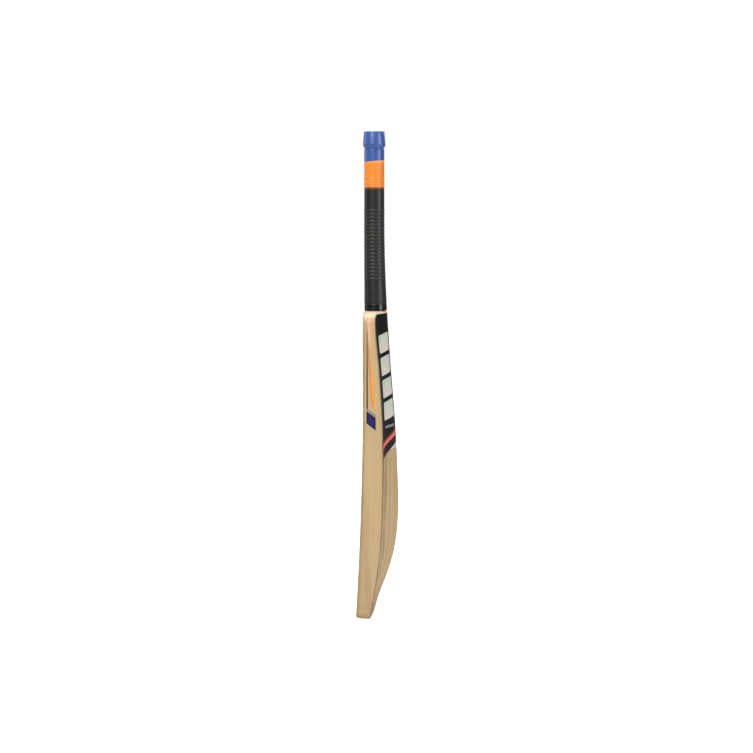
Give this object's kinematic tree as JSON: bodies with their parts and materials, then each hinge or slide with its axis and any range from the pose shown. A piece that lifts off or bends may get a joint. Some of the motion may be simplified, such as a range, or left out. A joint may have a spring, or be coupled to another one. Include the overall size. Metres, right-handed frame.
{
  "type": "cricket bat",
  "caption": "Full-size wooden bat with a spined blade, a spliced cane handle, a ribbed rubber grip with coloured rings, and printed back and edge labels.",
  "frame": {"origin": "centre of the handle's flat end", "axes": "+Z along the handle's axis, out of the handle's end, so the toe is at -Z; X across the blade; -Y out of the hitting face and +Y out of the spine"},
  "size_m": [0.1086, 0.0746, 0.855],
  "materials": {
    "willow": "knocked-in, oiled and lightly polished, straight grain",
    "cane": "planed cane, open pores on the end grain",
    "spring_rubber": "dull sheet rubber",
    "twine": "waxed linen twine, close wound",
    "grip_blue": "moulded rubber, satin",
    "grip_orange": "moulded rubber, satin",
    "grip_black": "moulded rubber, matt, ringed with soft ribs",
    "gloss_tape": "glossy vinyl tape",
    "label_black": "printed vinyl, semi gloss",
    "label_silver": "printed silver vinyl, satin",
    "label_grey": "printed vinyl, satin",
    "label_salmon": "printed vinyl, semi gloss",
    "label_purple": "printed vinyl, semi gloss",
    "label_white": "printed vinyl, semi gloss",
    "label_flame": "printed clear vinyl fading from cream to orange",
    "label_blue": "printed vinyl, semi gloss"
  },
  "bodies": {
    "root": {"blade": "willow", "cane_1_left": "cane", "cane_1_centre": "cane", "cane_1_right": "cane", "cane_2_left": "cane", "cane_2_centre": "cane", "cane_2_right": "cane", "cane_3_left": "cane", "cane_3_centre": "cane", "cane_3_right": "cane", "cane_4_left": "cane", "cane_4_centre": "cane", "cane_4_right": "cane", "spring_front": "spring_rubber", "spring_middle": "spring_rubber", "spring_back": "spring_rubber", "twine_binding": "twine", "grip_collar": "grip_blue", "grip_band": "grip_orange", "grip_sleeve": "grip_black", "grip_foot_tape": "gloss_tape", "back_label_ground": "label_black", "back_label_panels": "label_silver", "back_label_bars": "label_grey", "back_stripe_orange": "label_salmon", "back_stripe_purple": "label_purple", "back_stripe_white": "label_white", "edge_strip_left": "label_flame", "edge_strip_right": "label_flame", "edge_band_left": "label_grey", "edge_band_right": "label_grey", "edge_block_left": "label_blue", "edge_block_right": "label_blue"}
  },
  "joints": []
}
